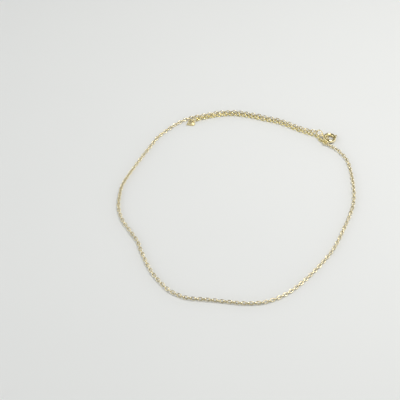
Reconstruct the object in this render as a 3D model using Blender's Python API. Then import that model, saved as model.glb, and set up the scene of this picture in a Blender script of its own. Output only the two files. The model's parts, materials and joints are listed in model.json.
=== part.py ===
"""Heart charm chain bracelet, lying on a flat surface as one loose loop.

A fine cable chain is closed by a spring ring, and a tail of the same chain ends in a small heart.
Metres, +Z up. The origin lies under the middle of the loop, on the surface that it rests on.
"""

from math import acos, asin, atan2, ceil, cos, degrees, hypot, pi, radians, sin, sqrt, tan

import bmesh
import bpy
from mathutils import Matrix, Vector

MM = 0.001
UP = Vector((0, 0, 1))

# Cable chain
LINK_LENGTH = 1.66 * MM
LINK_WIDTH = 1.20 * MM
LINK_WIRE = 0.29 * MM
LINK_SEAT = 0.06 * MM  # how far neighbouring links of the tail are sunk into each other
EXTENDER_LENGTH = 49.5 * MM
STRAND_CLEARANCE = 0.04 * MM  # between the tail and the main chain beside it
LINK_ROLL = radians(38)  # how far the tail has rolled over where it lies free
TURN_LINKS = 6  # links over which the tail rolls from a ring to its free lie
TUBE_STEP = 2.65  # points along the chain's tube, in chain widths

# Spring ring clasp: angles turn about its centre, from the direction that leads away from its loop
CLASP_DIAMETER = 4.8 * MM
CLASP_TUBE = 1.1 * MM
CLASP_RADIUS = (CLASP_DIAMETER - CLASP_TUBE) / 2  # to the middle of its tube
CLASP_WALL = 0.17 * MM
CLASP_HEADING = radians(-29)
BOLT_CLEARANCE = 0.08 * MM
GATE_START = radians(-4)
GATE_END = radians(38)
BOLT_OVERLAP = radians(8)  # how deep the bolt's nose sits in the far side of the gate
BOLT_TAIL = radians(118)
BOLT_TRAVEL = radians(48)
BOLT_SPARE = radians(6)  # empty bore left beyond either end of the bolt
KNOB_ANGLE = radians(58)
KNOB_STEM = 0.36 * MM
KNOB_DIAMETER = 0.62 * MM
KNOB_HEIGHT = 0.50 * MM
KNOB_CLEARANCE = 0.08 * MM
KNOB_SIDES = 12
CLASP_LOOP_DIAMETER = 1.55 * MM
CLASP_LOOP_WIRE = 0.32 * MM
SOLDER_DEPTH = 0.10 * MM  # how far a soldered loop is let into what carries it
LOOP_SLACK = 0.08 * MM  # between the middle of the clasp's loop and the jump ring's wire in it

# Rings that join the pieces
JUMP_DIAMETER = 2.5 * MM
JUMP_WIRE = 0.32 * MM
JUMP_LEAN = radians(16)
CHARM_RING_DIAMETER = 2.4 * MM
CHARM_RING_WIRE = 0.30 * MM
CHARM_RING_LEAN = radians(14)
CATCH_DIAMETER = 2.6 * MM
CATCH_WIRE = 0.35 * MM
CATCH_LEAN = radians(10)
CATCH_ANGLE = radians(264)  # where the catch ring passes round the clasp
CATCH_SHIFT = 0.24 * MM  # how far the catch ring's centre lies outside the clasp's own tube
RING_CLEARANCE = 0.06 * MM
RING_SPLIT = 0.06 * MM  # the cut where a jump ring was opened and closed

# Where the strands hang on the catch ring, as angles up from its level outer point
CATCH_TO_TAIL = radians(-8)
CATCH_TO_CHAIN = radians(-34)
TAIL_TURN = radians(-24)  # how far the tail's first link turns back towards the clasp
CHAIN_TURN = radians(1)

# Heart charm
HEART_WIDTH = 3.0 * MM
HEART_HEIGHT = 3.0 * MM
HEART_EDGE = 0.40 * MM
HEART_DOME = 0.42 * MM
HEART_CHAMFER = 0.08 * MM
HEART_TURN = radians(3)  # how far the heart has turned from the way that the tail ends
HEART_POINTS = 40
HEART_WAVES = (13, -5, -2, -1)  # the heart curve's height is these cosines, of once to four times round
CROWDED = 0.2  # points of the heart curve closer than this to its tip or cleft are left out
DOME_STEPS = 5
DOME_TOP = 0.12  # share of the outline left as the flat crown of the dome
HEART_LOOP_DIAMETER = 1.25 * MM
HEART_LOOP_WIRE = 0.28 * MM
HEART_LOOP_HEIGHT = 0.64 * MM
HEART_LOOP_OUT = 0.55 * MM  # from the heart's cleft to the middle of its loop

# The chain's route on the surface, in millimetres, from the clasp's jump ring over the far side,
# down the left, along the near side and up the right to the catch ring
CHAIN_ROUTE = [
    (28.6, 31.0), (24.8, 33.0), (22.0, 34.4), (18.6, 36.3), (15.2, 37.8), (11.6, 38.8), (8.3, 39.9),
    (4.8, 40.8), (1.3, 41.5), (-2.3, 41.6), (-6.0, 41.2), (-9.5, 40.3), (-13.2, 39.4), (-15.7, 38.7),
    (-17.9, 37.7), (-21.0, 35.5), (-24.2, 32.6), (-27.3, 29.2), (-29.6, 25.3), (-34.2, 16.9),
    (-38.7, 7.5), (-39.6, 2.4), (-39.7, -2.8), (-38.3, -8.0), (-35.4, -13.0), (-32.9, -17.1),
    (-31.5, -21.2), (-28.0, -29.2), (-23.1, -35.7), (-19.9, -38.0), (-16.5, -39.4), (-9.9, -40.1),
    (-3.7, -40.9), (2.5, -41.5), (8.8, -40.7), (14.9, -37.7), (20.2, -33.1), (25.6, -27.2),
    (30.7, -20.4), (34.6, -12.6), (38.4, -3.3), (39.5, 2.0), (39.7, 7.3), (39.4, 13.2),
    (38.4, 18.7), (35.9, 22.7),
]
# The tail's own bend round the clasp at its start, in millimetres from the catch ring's middle
TAIL_START = [(-1.917597, 0.706425), (-3.117599, 2.706425)]
TAIL_MEETS = 3.2 * MM  # how far back along the main chain the tail comes to lie against it
TAIL_PARTS = 14.0 * MM  # how much of the tail is left where it leaves the main chain again
BESIDE_STEP = 4.2 * MM
# The tail's free end, in millimetres: how much of it is left, and how far in from the main chain it is
TAIL_END = [(8.1, 1.2), (5.3, 1.4), (3.0, 2.0)]

SIDES_RESOLUTION = 2
LINK_RESOLUTION = 1
CURVE_STEPS = 12
LINK_END_STEPS = 4
ARC_STEP = radians(6)
RING_STEP = radians(12)
LOOP_STEP = radians(18)
SHARP_ANGLE = radians(50)
WELD = 0.001 * MM

GOLD = (0.82, 0.62, 0.27, 1.0)
PALE_GOLD = (0.86, 0.69, 0.36, 1.0)


def clear_scene():
    for thing in list(bpy.data.objects):
        bpy.data.objects.remove(thing, do_unlink=True)


def collection(name):
    group = bpy.data.collections.new(name)
    bpy.context.scene.collection.children.link(group)
    return group


def gold(name, colour, roughness):
    material = bpy.data.materials.new(name)
    material.use_nodes = True
    shader = material.node_tree.nodes["Principled BSDF"]
    shader.inputs["Base Color"].default_value = colour
    shader.inputs["Metallic"].default_value = 1.0
    shader.inputs["Roughness"].default_value = roughness
    return material


class Route:
    """A smooth curve through a few points, read by the distance along it."""

    def __init__(self, points):
        self.dense = []
        ends = [points[0] * 2 - points[1]] + points + [points[-1] * 2 - points[-2]]
        for before, start, end, after in zip(ends, ends[1:], ends[2:], ends[3:]):
            for k in range(CURVE_STEPS):
                self.dense.append(self.between(before, start, end, after, k / CURVE_STEPS))
        self.dense.append(points[-1].copy())
        self.marks = [0.0]
        for a, b in zip(self.dense, self.dense[1:]):
            self.marks.append(self.marks[-1] + (b - a).length)
        self.length = self.marks[-1]

    @staticmethod
    def between(before, start, end, after, share):
        """One point of a curve that leaves each point along the line between its neighbours."""
        span = (end - start).length
        leave = (end - before).normalized() * span
        arrive = (after - start).normalized() * span
        s2 = share * share
        s3 = s2 * share
        return (
            start * (2 * s3 - 3 * s2 + 1)
            + leave * (s3 - 2 * s2 + share)
            + end * (3 * s2 - 2 * s3)
            + arrive * (s3 - s2)
        )

    def at(self, distance):
        k = 1
        while k < len(self.marks) - 1 and self.marks[k] < distance:
            k += 1
        share = (distance - self.marks[k - 1]) / (self.marks[k] - self.marks[k - 1])
        return self.dense[k - 1].lerp(self.dense[k], share)

    def heading(self, distance, reach):
        """The direction along the curve, read over a short reach on both sides."""
        ahead = self.at(min(distance + reach, self.length))
        behind = self.at(max(distance - reach, 0))
        return (ahead - behind).normalized()


class Ring:
    """Where a round wire ring is: its centre, a level direction in its plane and its rising one."""

    def __init__(self, centre, along, rise, diameter, wire):
        self.centre = centre
        self.along = along
        self.rise = rise
        self.normal = along.cross(rise)
        self.radius = (diameter - wire) / 2
        self.wire = wire

    def point(self, angle):
        return self.centre + (self.along * cos(angle) + self.rise * sin(angle)) * self.radius

    def tangent(self, angle):
        return self.rise * cos(angle) - self.along * sin(angle)

    def matrix(self):
        axes = Matrix((self.along, self.rise, self.normal)).transposed()
        return Matrix.Translation(self.centre) @ axes.to_4x4()


def level(angle):
    return Vector((cos(angle), sin(angle), 0))


def leaning(along, lean):
    """The rising direction of a ring that leans over to the left of the way it faces."""
    return UP * cos(lean) + UP.cross(along) * sin(lean)


def standing_height(diameter, wire, lean):
    """How high the centre of a leaning ring is when it stands on the surface."""
    return (diameter - wire) / 2 * cos(lean) + wire / 2


def reach_at(diameter, wire, lean, height):
    """How far along from its centre a standing ring's wire is at a height."""
    drop = (height - standing_height(diameter, wire, lean)) / cos(lean)
    return sqrt(((diameter - wire) / 2) ** 2 - drop**2)


def curve_mesh(name, points, radius, closed, resolution):
    """The mesh of a round wire along some points, with its end caps welded on."""
    data = bpy.data.curves.new(name, "CURVE")
    data.dimensions = "3D"
    data.bevel_depth = radius
    data.bevel_resolution = resolution
    data.use_fill_caps = not closed
    spline = data.splines.new("POLY")
    spline.points.add(len(points) - 1)
    for target, point in zip(spline.points, points):
        target.co = (*point, 1)
    spline.use_cyclic_u = closed
    wire = bpy.data.objects.new(name, data)
    bpy.context.scene.collection.objects.link(wire)
    evaluated = wire.evaluated_get(bpy.context.evaluated_depsgraph_get())
    mesh = bpy.data.meshes.new_from_object(evaluated)
    bpy.data.objects.remove(wire, do_unlink=True)
    shape = bmesh.new()
    shape.from_mesh(mesh)
    bmesh.ops.remove_doubles(shape, verts=shape.verts, dist=WELD)
    bmesh.ops.recalc_face_normals(shape, faces=shape.faces)
    shape.to_mesh(mesh)
    shape.free()
    return mesh


def arc_points(radius, start, end, step):
    count = ceil((end - start) / step)
    angles = [start + (end - start) * k / count for k in range(count + 1)]
    return [level(angle) * radius for angle in angles]


def add_object(name, mesh, group, matrix):
    piece = bpy.data.objects.new(name, mesh)
    piece.matrix_world = matrix
    group.objects.link(piece)
    return piece


def finish(piece, material):
    """Gives a piece its one material and smooth shading with the sharp edges kept."""
    piece.data.materials.clear()
    piece.data.materials.append(material)
    piece.data.shade_smooth()
    piece.data.set_sharp_from_angle(angle=SHARP_ANGLE)


def boolean(piece, other, operation):
    """Joins or cuts one mesh object by another in the same place, and applies it."""
    modifier = piece.modifiers.new(operation.lower(), "BOOLEAN")
    modifier.operation = operation
    modifier.solver = "EXACT"
    modifier.use_self = operation == "UNION"
    modifier.object = other
    bpy.context.view_layer.update()
    evaluated = piece.evaluated_get(bpy.context.evaluated_depsgraph_get())
    mesh = bpy.data.meshes.new_from_object(evaluated)
    piece.modifiers.clear()
    piece.data = mesh


def fuse(piece, other):
    boolean(piece, other, "UNION")
    bpy.data.objects.remove(other, do_unlink=True)


def as_cutter(cutter):
    cutter.hide_render = True
    cutter.display_type = "WIRE"
    return cutter


def link_mesh():
    """One oval link in its own plane, its length along X: two half rounds joined by straight runs."""
    half_width = (LINK_WIDTH - LINK_WIRE) / 2
    straight = (LINK_LENGTH - LINK_WIRE) / 2 - half_width
    points = []
    for end in (1, -1):
        for k in range(LINK_END_STEPS + 1):
            turn = pi * k / LINK_END_STEPS - pi / 2
            corner = Vector((cos(turn) * half_width + straight, sin(turn) * half_width, 0))
            points.append(corner * end)
    return curve_mesh("link", points, LINK_WIRE / 2, True, LINK_RESOLUTION)


def link_pitch():
    return LINK_LENGTH - 2 * LINK_WIRE + LINK_SEAT


def link_frame(centre, heading, roll):
    """The place of a link: X along the chain, Z square to the link's plane, rolled about X."""
    across = UP.cross(heading).normalized()
    square = heading.cross(across)
    rolled_across = across * cos(roll) + square * sin(roll)
    rolled_square = square * cos(roll) - across * sin(roll)
    axes = Matrix((heading, rolled_across, rolled_square)).transposed()
    return Matrix.Translation(centre) @ axes.to_4x4()


def lying_height(roll):
    """How high the chain's middle is when its links, alternately square to each other, lie down."""
    widest = max(abs(sin(roll)), abs(cos(roll)))
    return (LINK_WIDTH - LINK_WIRE) / 2 * widest + LINK_WIRE / 2


def route_centre():
    """The middle of the loop, from the smooth curve through its points."""
    loop = Route([Vector((x, y, 0)) * MM for x, y in CHAIN_ROUTE])
    xs = [point.x for point in loop.dense]
    ys = [point.y for point in loop.dense]
    return Vector(((min(xs) + max(xs)) / 2, (min(ys) + max(ys)) / 2, 0))


CENTRE = route_centre()
CHAIN_HEIGHT = LINK_WIDTH / 2


def on_surface(x, y, height=CHAIN_HEIGHT):
    return Vector((x * MM, y * MM, height)) - CENTRE


def place_catch_in_clasp():
    """Where the clasp's tube passes inside the catch ring, from the ring's centre."""
    room = (CATCH_DIAMETER - 2 * CATCH_WIRE) / 2 - CLASP_TUBE / 2 - RING_CLEARANCE
    return -CATCH_SHIFT, -sqrt(max(room**2 - CATCH_SHIFT**2, 0))


def clasp_place():
    """The clasp's frame: it lies down, tipped up over the catch ring's wire on that side."""
    along, up = place_catch_in_clasp()
    tube_radius = CLASP_TUBE / 2
    tube_height = standing_height(CATCH_DIAMETER, CATCH_WIRE, CATCH_LEAN) + up * cos(CATCH_LEAN)
    tip = asin((tube_height - tube_radius) / (2 * CLASP_RADIUS))
    raised = level(CATCH_ANGLE)
    turn = Matrix.Rotation(CLASP_HEADING, 4, "Z") @ Matrix.Rotation(-tip, 4, UP.cross(raised))
    loop_centre = turn @ (level(pi) * clasp_loop_distance())
    height = tube_radius + CLASP_RADIUS * sin(tip)
    heading = level(CLASP_HEADING)
    chain_end = on_surface(*CHAIN_ROUTE[0])
    jump = jump_ring_place(chain_end, heading)
    far_reach = reach_at(JUMP_DIAMETER, JUMP_WIRE, JUMP_LEAN, height + loop_centre.z)
    target = jump.centre + heading * (far_reach - LOOP_SLACK)
    centre = Vector((target.x - loop_centre.x, target.y - loop_centre.y, height))
    return Matrix.Translation(centre) @ turn, jump


def clasp_loop_distance():
    return CLASP_DIAMETER / 2 + CLASP_LOOP_DIAMETER / 2 - SOLDER_DEPTH


def ring_over(point, heading, lean, diameter, wire):
    """A ring that stands on the surface and leans about the level line through a point."""
    centre = point.copy()
    centre.z = standing_height(diameter, wire, lean)
    centre += UP.cross(heading) * (centre.z - point.z) * tan(lean)
    return Ring(centre, heading, leaning(heading, lean), diameter, wire)


def jump_ring_place(chain_end, heading):
    """The jump ring stands just past the end of the chain, its wire in the last link."""
    middle = chain_end + heading * (JUMP_DIAMETER / 2 + RING_CLEARANCE)
    return ring_over(middle, heading, JUMP_LEAN, JUMP_DIAMETER, JUMP_WIRE)


def catch_ring_place(clasp):
    """The catch ring goes round the clasp's tube, square to it, and stands on the surface."""
    tube = clasp @ (level(CATCH_ANGLE) * CLASP_RADIUS)
    out = level(CATCH_ANGLE + CLASP_HEADING)
    rise = leaning(out, -CATCH_LEAN)
    along, up = place_catch_in_clasp()
    centre = tube - out * along - rise * up
    return Ring(centre, out, rise, CATCH_DIAMETER, CATCH_WIRE)


def strand_on_catch(ring, angle, side, turn):
    """Where a link hangs on the catch ring and the direction that it leads off in."""
    away = Matrix.Rotation(turn, 3, ring.tangent(angle)) @ (ring.normal * side)
    return ring.point(angle), away


def link_on_ring(point, away, wire):
    """The centre of a link whose end goes round a ring's wire with a little clearance."""
    grip = wire / 2 + LINK_WIRE / 2 + RING_CLEARANCE
    return point + away * ((LINK_LENGTH - LINK_WIRE) / 2 - grip)


def chain_route(catch):
    """The main chain's curve, from the jump ring round to the catch ring."""
    point, away = strand_on_catch(catch, CATCH_TO_CHAIN, -1, CHAIN_TURN)
    end = point + away * (CATCH_WIRE / 2 + LINK_WIRE + 2 * RING_CLEARANCE)
    lead = end + away * LINK_WIDTH
    lead.z = (end.z + CHAIN_HEIGHT) / 2
    return Route([on_surface(x, y) for x, y in CHAIN_ROUTE] + [lead, end])


def beside(chain, distance, inward, height):
    """A point inside the loop, beside the main chain."""
    at = chain.at(distance)
    offset = UP.cross(chain.heading(distance, LINK_LENGTH)) * inward
    return Vector((at.x + offset.x, at.y + offset.y, height))


def from_ring(ring, x, y, height):
    """A point at the given height, placed from the middle of a ring."""
    return Vector((ring.centre.x + x * MM, ring.centre.y + y * MM, height))


def tail_route(catch, chain):
    """The tail's curve: from the catch ring, round the clasp, beside the chain and to the charm."""
    point, away = strand_on_catch(catch, CATCH_TO_TAIL, 1, TAIL_TURN)
    start = link_on_ring(point, away, CATCH_WIRE)
    height = lying_height(LINK_ROLL)
    lead = start + away * link_pitch()
    lead.z = (start.z + height) / 2
    points = [start, lead] + [from_ring(catch, x, y, height) for x, y in TAIL_START]
    run = EXTENDER_LENGTH - TAIL_PARTS - TAIL_MEETS
    count = round(run / BESIDE_STEP)
    for k in range(count + 1):
        along = TAIL_MEETS + run * k / count
        points.append(beside(chain, along, LINK_WIDTH + STRAND_CLEARANCE, height))
    for left, inward in TAIL_END:
        points.append(beside(chain, EXTENDER_LENGTH - left * MM, inward * MM, height))
    return Route(points)


def make_main_chain(group, route, material):
    count = ceil(route.length / (TUBE_STEP * LINK_WIDTH))
    points = [route.at(route.length * k / count) for k in range(count + 1)]
    for point in points:
        point.z = max(point.z, CHAIN_HEIGHT)
    mesh = curve_mesh("main_chain", points, LINK_WIDTH / 2, False, SIDES_RESOLUTION)
    finish(add_object("main_chain", mesh, group, Matrix()), material)


def tail_links(route, ring_roll):
    """The place of each link of the tail: rolled as its rings hold it at the ends."""
    frames = []
    last = int(EXTENDER_LENGTH / link_pitch())
    start_roll = ring_roll - pi / 2 * (last % 2)
    start_roll -= pi * round((start_roll - LINK_ROLL) / pi)
    for k in range(last + 1):
        distance = min(k * link_pitch(), route.length)
        from_start = min(k / TURN_LINKS, 1)
        from_end = min((last - k) / TURN_LINKS, 1)
        roll = start_roll * (1 - from_start) + LINK_ROLL * (from_start + from_end - 1)
        centre = route.at(distance)
        lying = lying_height(roll)
        centre.z = lying if from_start == 1 else max(centre.z, lying)
        heading = route.heading(distance, link_pitch() / 2)
        frames.append(link_frame(centre, heading, roll + pi / 2 * ((last - k) % 2)))
    return frames


def make_extender(group, frames, material):
    """Every other link goes into one mesh, the rest into another, and a union fuses the two."""
    link = link_mesh()
    halves = []
    for start in (0, 1):
        shape = bmesh.new()
        for frame in frames[start::2]:
            copy = link.copy()
            copy.transform(frame)
            shape.from_mesh(copy)
            bpy.data.meshes.remove(copy)
        mesh = bpy.data.meshes.new("extender_chain")
        shape.to_mesh(mesh)
        shape.free()
        halves.append(mesh)
    chain = add_object("extender_chain", halves[0], group, Matrix())
    fuse(chain, add_object("other_links", halves[1], group, Matrix()))
    finish(chain, material)


def make_ring(name, ring, group, material):
    """A jump ring: a round wire bent into a circle, with the fine cut where it was closed."""
    half_cut = RING_SPLIT / 2 / ring.radius
    top = pi / 2
    points = arc_points(ring.radius, top + half_cut, top + 2 * pi - half_cut, RING_STEP)
    mesh = curve_mesh(name, points, ring.wire / 2, False, SIDES_RESOLUTION)
    finish(add_object(name, mesh, group, ring.matrix()), material)


def soldered_loop(name, centre, diameter, wire, group):
    """A closed wire loop that a union then makes part of the piece that carries it."""
    points = arc_points((diameter - wire) / 2, 0, 2 * pi, LOOP_STEP)[:-1]
    mesh = curve_mesh(name, points, wire / 2, True, SIDES_RESOLUTION)
    return add_object(name, mesh, group, Matrix.Translation(centre))


def slot_cutter(group):
    """The path of the knob's stem, swept round the clasp through the outer side of its tube."""
    half_height = KNOB_STEM / 2 + KNOB_CLEARANCE
    margin = half_height / CLASP_RADIUS
    start = KNOB_ANGLE - margin
    sweep = BOLT_TRAVEL + 2 * margin
    shape = bmesh.new()
    inner, outer = CLASP_RADIUS, CLASP_DIAMETER / 2 + CLASP_WALL
    low, high = -half_height, half_height
    corners = [(inner, low), (outer, low), (outer, high), (inner, high)]
    face = shape.faces.new([shape.verts.new(level(start) * r + UP * z) for r, z in corners])
    steps = ceil(sweep / ARC_STEP)
    geometry = [face] + list(face.edges) + list(face.verts)
    bmesh.ops.spin(shape, geom=geometry, cent=(0, 0, 0), axis=UP, angle=sweep, steps=steps)
    bmesh.ops.recalc_face_normals(shape, faces=shape.faces)
    mesh = bpy.data.meshes.new("knob_slot")
    shape.to_mesh(mesh)
    shape.free()
    return as_cutter(add_object("knob_slot", mesh, group, Matrix()))


def make_clasp_ring(group, cutters, place, material):
    """The spring ring's case: a round tube bent into a C, bored from the gate for the bolt."""
    points = arc_points(CLASP_RADIUS, GATE_END, GATE_START + 2 * pi, ARC_STEP)
    mesh = curve_mesh("clasp_ring", points, CLASP_TUBE / 2, False, SIDES_RESOLUTION + 1)
    ring = add_object("clasp_ring", mesh, group, Matrix())
    loop_centre = level(pi) * clasp_loop_distance()
    fuse(ring, soldered_loop("loop", loop_centre, CLASP_LOOP_DIAMETER, CLASP_LOOP_WIRE, group))
    housed = BOLT_TAIL + BOLT_TRAVEL + BOLT_SPARE
    nose = GATE_START - BOLT_OVERLAP - BOLT_SPARE
    for name, start, end in (
        ("housing_bore", GATE_END - ARC_STEP, housed),
        ("nose_bore", nose, GATE_START + ARC_STEP),
    ):
        points = arc_points(CLASP_RADIUS, start, end, ARC_STEP)
        mesh = curve_mesh(name, points, CLASP_TUBE / 2 - CLASP_WALL, False, SIDES_RESOLUTION)
        boolean(ring, as_cutter(add_object(name, mesh, cutters, Matrix())), "DIFFERENCE")
    boolean(ring, slot_cutter(cutters), "DIFFERENCE")
    ring.matrix_world = place
    finish(ring, material)


def add_pin(shape, diameter, inner, outer):
    """Adds a round pin that stands out of the clasp at the knob's angle, between two radii."""
    turned = Matrix.Rotation(KNOB_ANGLE, 4, "Z") @ Matrix.Rotation(pi / 2, 4, "Y")
    middle = level(KNOB_ANGLE) * (inner + outer) / 2
    bmesh.ops.create_cone(
        shape, cap_ends=True, segments=KNOB_SIDES, radius1=diameter / 2, radius2=diameter / 2,
        depth=outer - inner, matrix=Matrix.Translation(middle) @ turned,
    )


def make_clasp_bolt(group, place, material):
    """The curved bolt with its thumb knob; its origin is the centre that it slides round."""
    radius = CLASP_TUBE / 2 - CLASP_WALL - BOLT_CLEARANCE
    points = arc_points(CLASP_RADIUS, GATE_START - BOLT_OVERLAP, BOLT_TAIL, ARC_STEP)
    mesh = curve_mesh("clasp_bolt", points, radius, False, SIDES_RESOLUTION)
    bolt = add_object("clasp_bolt", mesh, group, Matrix())
    neck = CLASP_DIAMETER / 2 + KNOB_CLEARANCE
    shape = bmesh.new()
    add_pin(shape, KNOB_STEM, CLASP_RADIUS + radius / 2, neck + KNOB_HEIGHT / 2)
    add_pin(shape, KNOB_DIAMETER, neck, neck + KNOB_HEIGHT)
    knob = bpy.data.meshes.new("knob")
    shape.to_mesh(knob)
    shape.free()
    fuse(bolt, add_object("knob", knob, group, Matrix()))
    bolt.matrix_world = place
    finish(bolt, material)


def heart_outline():
    """The heart curve, its tip along +X and its cleft towards the origin side, centred in width."""
    raw = []
    for k in range(HEART_POINTS):
        t = 2 * pi * k / HEART_POINTS
        if k % (HEART_POINTS // 2) and abs(sin(t)) < CROWDED:
            continue
        height = sum(wave * cos((n + 1) * t) for n, wave in enumerate(HEART_WAVES))
        raw.append((sin(t) ** 3, height))
    widest = max(side for side, height in raw)
    lowest = min(height for side, height in raw)
    highest = max(height for side, height in raw)
    across = HEART_WIDTH / 2 / widest
    along = HEART_HEIGHT / (highest - lowest)
    cleft = raw[0][1]
    return [Vector(((cleft - height) * along, side * across, 0)) for side, height in raw]


def heart_mesh():
    """The heart is its outline extruded, with a bevelled back edge and a domed front."""
    outline = heart_outline()
    middle = Vector((sum(point.x for point in outline) / len(outline), 0, 0))
    back = 1 - HEART_CHAMFER / (HEART_WIDTH / 2)
    layers = [(back, 0), (1, HEART_CHAMFER), (1, HEART_EDGE)]
    for k in range(1, DOME_STEPS + 1):
        turn = acos(DOME_TOP) * k / DOME_STEPS
        layers.append((cos(turn), HEART_EDGE + HEART_DOME * sin(turn)))
    shape = bmesh.new()
    share, height = layers[0]
    corners = [middle + (point - middle) * share + UP * height for point in outline]
    face = shape.faces.new([shape.verts.new(corner) for corner in corners])
    for number, (share, height) in enumerate(layers[1:]):
        grown = bmesh.ops.extrude_face_region(shape, geom=[face])["geom"]
        above = next(part for part in grown if isinstance(part, bmesh.types.BMFace))
        before = layers[number][0]
        for vertex in above.verts:
            flat = (vertex.co - middle) * share / before
            vertex.co = Vector((middle.x + flat.x, flat.y, height))
        if number:
            bmesh.ops.delete(shape, geom=[face], context="FACES_ONLY")
        face = above
    bmesh.ops.recalc_face_normals(shape, faces=shape.faces)
    mesh = bpy.data.meshes.new("heart_charm")
    shape.to_mesh(mesh)
    shape.free()
    return mesh


def make_heart(group, loop_centre, heading, material):
    """The heart lies on its flat back; the loop in its cleft stands clear of the surface."""
    heart = add_object("heart_charm", heart_mesh(), group, Matrix())
    local = Vector((-HEART_LOOP_OUT, 0, HEART_LOOP_HEIGHT))
    fuse(heart, soldered_loop("loop", local, HEART_LOOP_DIAMETER, HEART_LOOP_WIRE, group))
    turn = Matrix.Rotation(heading, 4, "Z")
    offset = turn @ Vector((local.x, 0, 0))
    place = Vector((loop_centre.x - offset.x, loop_centre.y - offset.y, 0))
    heart.matrix_world = Matrix.Translation(place) @ turn
    finish(heart, material)


def charm_ring_place(centre, heading):
    """The charm's ring stands in the last link of the tail and in the heart's loop."""
    link_end = (LINK_LENGTH - LINK_WIRE) / 2
    height = standing_height(CHARM_RING_DIAMETER, CHARM_RING_WIRE, CHARM_RING_LEAN)
    drop = (height - centre.z) / cos(CHARM_RING_LEAN)
    inner = CHARM_RING_DIAMETER / 2 - CHARM_RING_WIRE - LINK_WIRE / 2 - RING_CLEARANCE
    far = reach_at(CHARM_RING_DIAMETER, CHARM_RING_WIRE, CHARM_RING_LEAN, HEART_LOOP_HEIGHT)
    middle = centre + heading * (link_end + sqrt(max(inner**2 - drop**2, 0)))
    ring = ring_over(middle, heading, CHARM_RING_LEAN, CHARM_RING_DIAMETER, CHARM_RING_WIRE)
    return ring, middle + heading * far


def first_roll(route, catch):
    """The roll that sets the tail's first link square to the catch ring's wire."""
    square = link_frame(route.at(0), route.heading(0, link_pitch() / 2), 0)
    wire = square.to_3x3().inverted() @ catch.tangent(CATCH_TO_TAIL)
    return atan2(-wire.y, wire.z)


def main():
    clear_scene()
    parts = collection("heart_charm_chain_bracelet")
    cutters = collection("cutters")
    chain_gold = gold("chain_gold", GOLD, 0.22)
    polished = gold("polished_gold", PALE_GOLD, 0.12)
    clasp, jump = clasp_place()
    catch = catch_ring_place(clasp)
    chain = chain_route(catch)
    tail = tail_route(catch, chain)
    frames = tail_links(tail, first_roll(tail, catch))
    make_main_chain(parts, chain, chain_gold)
    make_extender(parts, frames, chain_gold)
    make_clasp_ring(parts, cutters, clasp, polished)
    make_clasp_bolt(parts, clasp, polished)
    make_ring("clasp_jump_ring", jump, parts, polished)
    make_ring("catch_ring", catch, parts, polished)
    tail_end = frames[-1].col[0]
    heading = atan2(tail_end.y, tail_end.x) + HEART_TURN
    charm_ring, loop_centre = charm_ring_place(frames[-1].translation, level(heading))
    make_ring("charm_jump_ring", charm_ring, parts, polished)
    make_heart(parts, loop_centre, heading, polished)
    print("main chain", round(chain.length / MM, 1), "mm, tail curve", round(tail.length / MM, 1))
    print("links in the tail", len(frames))
    print("clasp centre", [round(x / MM, 2) for x in clasp.translation])
    print("tip", round(degrees(hypot(*clasp.to_3x3().col[2].xy)), 2))


main()
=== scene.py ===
# %% [markdown]
# A fine chain bracelet lies on a pale surface as one loose loop. A spring ring closes it, and a
# tail of spare chain runs back beside the main chain and ends in a small heart.
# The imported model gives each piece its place. The main chain is a plain tube there, so this lesson
# threads real links along the same route, and it makes the other metal pieces again with finer
# edges in the same places. Lengths are in metres, with +Z up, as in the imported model.

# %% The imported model
import json
from math import atan2, ceil, cos, degrees, pi, radians, sin

import bmesh
import bpy
import numpy as np
from mathutils import Matrix, Vector


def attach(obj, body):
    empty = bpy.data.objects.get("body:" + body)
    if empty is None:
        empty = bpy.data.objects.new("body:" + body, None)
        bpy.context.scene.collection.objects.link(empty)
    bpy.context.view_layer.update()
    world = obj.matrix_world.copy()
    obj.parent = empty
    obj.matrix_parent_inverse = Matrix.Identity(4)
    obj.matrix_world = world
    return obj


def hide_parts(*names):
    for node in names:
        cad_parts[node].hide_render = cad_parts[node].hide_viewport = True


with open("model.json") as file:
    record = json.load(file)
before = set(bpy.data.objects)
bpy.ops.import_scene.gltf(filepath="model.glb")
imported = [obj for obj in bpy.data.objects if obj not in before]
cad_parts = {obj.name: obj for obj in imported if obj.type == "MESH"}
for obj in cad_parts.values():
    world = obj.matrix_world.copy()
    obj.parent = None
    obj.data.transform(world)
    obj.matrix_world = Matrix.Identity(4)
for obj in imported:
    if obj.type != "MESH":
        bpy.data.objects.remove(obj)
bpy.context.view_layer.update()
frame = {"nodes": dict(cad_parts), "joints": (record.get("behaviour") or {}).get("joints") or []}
MM = 0.001
UP = Vector((0, 0, 1))


# %% [markdown]
# The camera comes first, because everything later is judged through it. The loop in the
# photograph is squeezed in height, which gives the camera's tilt, and the far side's smaller links
# give its distance. A long lens from about a third of a metre away has both.

# %% Camera
CAMERA_PLACE = Vector((-12.42, -227.24, 275.0)) * MM
CAMERA_DEPRESSION = radians(50.35)
LENS = 95.4
SENSOR_WIDTH = 36
CLIP_NEAR, CLIP_FAR = 10 * MM, 50


def placed(name, data):
    """An object with the given data, linked into the scene."""
    thing = bpy.data.objects.new(name, data)
    bpy.context.scene.collection.objects.link(thing)
    return thing


camera_data = bpy.data.cameras.new("camera")
camera_data.lens = LENS
camera_data.sensor_width = SENSOR_WIDTH
camera_data.clip_start = CLIP_NEAR
camera_data.clip_end = CLIP_FAR
camera = placed("camera", camera_data)
camera.location = CAMERA_PLACE
camera.rotation_euler = (pi / 2 - CAMERA_DEPRESSION, 0, 0)
bpy.context.scene.camera = camera
print("camera looks down by", round(degrees(CAMERA_DEPRESSION), 1), "degrees")

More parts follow.
